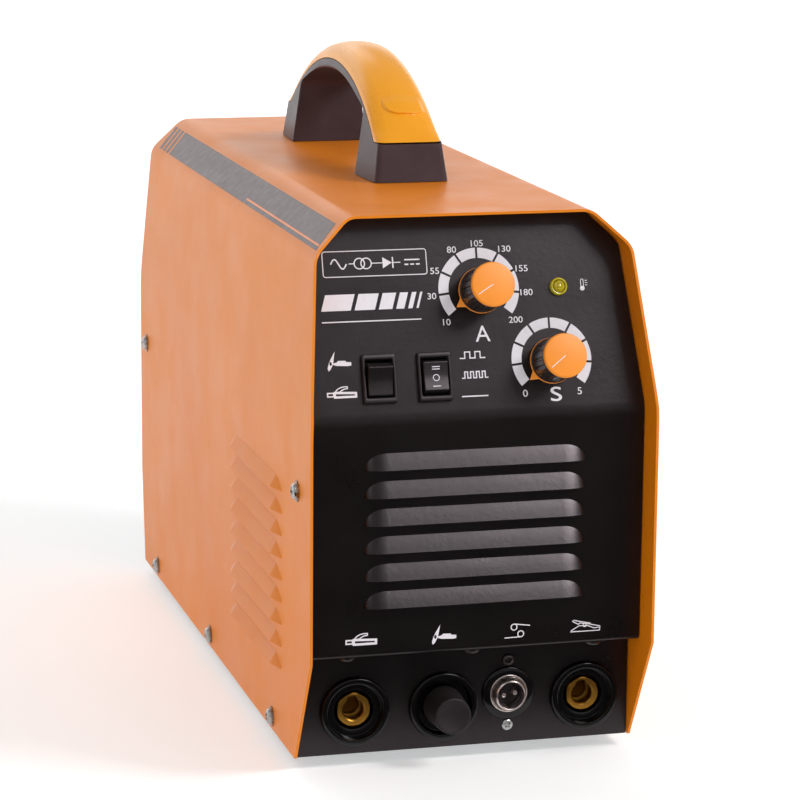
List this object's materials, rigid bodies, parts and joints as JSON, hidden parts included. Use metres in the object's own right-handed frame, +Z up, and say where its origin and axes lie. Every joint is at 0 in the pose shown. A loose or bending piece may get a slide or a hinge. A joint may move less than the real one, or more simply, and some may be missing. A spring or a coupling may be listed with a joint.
{
  "type": "tig welding machine",
  "caption": "Portable inverter TIG welding machine: sheet-steel cover with an arched carry handle, leaning control panel with dials and rocker switches, louvres, and output sockets below.",
  "frame": {"origin": "centre of the bounding box's base, on the surface that the feet stand on", "axes": "+Z up, front with the controls towards -Y, +X to the right of a person facing the controls"},
  "size_m": [0.161, 0.4046, 0.3006],
  "materials": {
    "orange_paint": "satin orange powder coat",
    "black_paint": "semi-gloss black powder coat",
    "orange_plastic": "glossy moulded orange plastic",
    "black_plastic": "satin moulded black plastic",
    "black_gloss_plastic": "glossy moulded black plastic",
    "black_rubber": "matt black rubber",
    "brass": "turned bright brass",
    "nickel": "satin nickel plate",
    "zinc_steel": "zinc-plated steel",
    "aluminium": "extruded aluminium",
    "amber_lens": "tinted translucent lens",
    "circuit_board": "green solder mask",
    "ferrite": "sintered ferrite",
    "copper_winding": "enamelled copper",
    "blue_sleeve": "printed sleeve"
  },
  "bodies": {
    "housing": {"cover": "orange_paint", "front_panel": "black_paint", "base_tray": "zinc_steel", "rear_panel": "black_paint", "bulk_capacitor_1": "blue_sleeve", "bulk_capacitor_2": "blue_sleeve", "bulk_capacitor_3": "blue_sleeve", "cable_gland": "black_plastic", "control_board": "circuit_board", "current_potentiometer": "zinc_steel", "earth_stud": "zinc_steel", "fan_frame": "black_plastic", "fan_guard": "zinc_steel", "foot_front_left": "black_rubber", "foot_front_right": "black_rubber", "foot_rear_left": "black_rubber", "foot_rear_right": "black_rubber", "gas_hose": "black_rubber", "gas_inlet": "brass", "gas_valve_body": "brass", "gas_valve_coil": "black_plastic", "handle_base": "black_plastic", "handle_cap": "orange_plastic", "heatsink_left": "aluminium", "heatsink_right": "aluminium", "igbt_module_left": "black_plastic", "igbt_module_right": "black_plastic", "ignition_coil": "copper_winding", "left_socket_insert": "brass", "left_socket_insulator": "black_gloss_plastic", "main_board": "circuit_board", "mode_switch_housing": "black_plastic", "output_choke": "copper_winding", "overload_lamp_bezel": "amber_lens", "overload_lamp_lens": "amber_lens", "power_switch_housing": "black_plastic", "pulse_switch_housing": "black_plastic", "right_socket_insert": "brass", "right_socket_insulator": "black_gloss_plastic", "slope_potentiometer": "zinc_steel", "torch_connector_insulator": "black_gloss_plastic", "torch_connector_stud": "brass", "transformer_core": "ferrite", "transformer_winding": "copper_winding", "trigger_socket_insert": "black_plastic", "trigger_socket_seat": "black_plastic", "trigger_socket_shell": "nickel"},
    "current_knob": {"current_knob": "black_plastic", "current_knob_cap": "orange_plastic", "current_knob_pointer": "orange_plastic", "current_shaft": "zinc_steel"},
    "slope_knob": {"slope_knob": "black_plastic", "slope_knob_cap": "orange_plastic", "slope_knob_pointer": "orange_plastic", "slope_shaft": "zinc_steel"},
    "mode_rocker": {"mode_switch_rocker": "black_plastic"},
    "pulse_rocker": {"pulse_switch_rocker": "black_plastic"},
    "power_rocker": {"power_switch_rocker": "black_plastic"},
    "fan_rotor": {"fan_rotor": "black_plastic"},
    "dust_cap": {"dust_cap": "black_rubber"}
  },
  "joints": [
    {"name": "current_knob_turn", "type": "hinge", "parent": "housing", "child": "current_knob", "pos_m": [0.00505, -0.16956, 0.21031], "axis": [0, 0.9537, -0.3007], "range_deg": [-6, 249]},
    {"name": "slope_knob_turn", "type": "hinge", "parent": "housing", "child": "slope_knob", "pos_m": [0.03485, -0.17912, 0.17998], "axis": [0, 0.9537, -0.3007], "range_deg": [0, 255]},
    {"name": "mode_switch_rock", "type": "hinge", "parent": "housing", "child": "mode_rocker", "pos_m": [-0.0427, -0.17891, 0.1752], "axis": [1, 0, 0], "range_deg": [-28, 0]},
    {"name": "pulse_switch_rock", "type": "hinge", "parent": "housing", "child": "pulse_rocker", "pos_m": [-0.0181, -0.17894, 0.1751], "axis": [1, 0, 0], "range_deg": [-14, 14]},
    {"name": "power_switch_rock", "type": "hinge", "parent": "housing", "child": "power_rocker", "pos_m": [-0.036, 0.17933, 0.211], "axis": [-1, 0, 0], "range_deg": [-26, 0]},
    {"name": "fan_spin", "type": "hinge", "parent": "housing", "child": "fan_rotor", "pos_m": [0, 0.17227, 0.118], "axis": [0, 1, 0], "continuous": true},
    {"name": "dust_cap_pull", "type": "slide", "parent": "housing", "child": "dust_cap", "axis": [0, -1, 0], "range_m": [0, 0.02]}
  ]
}
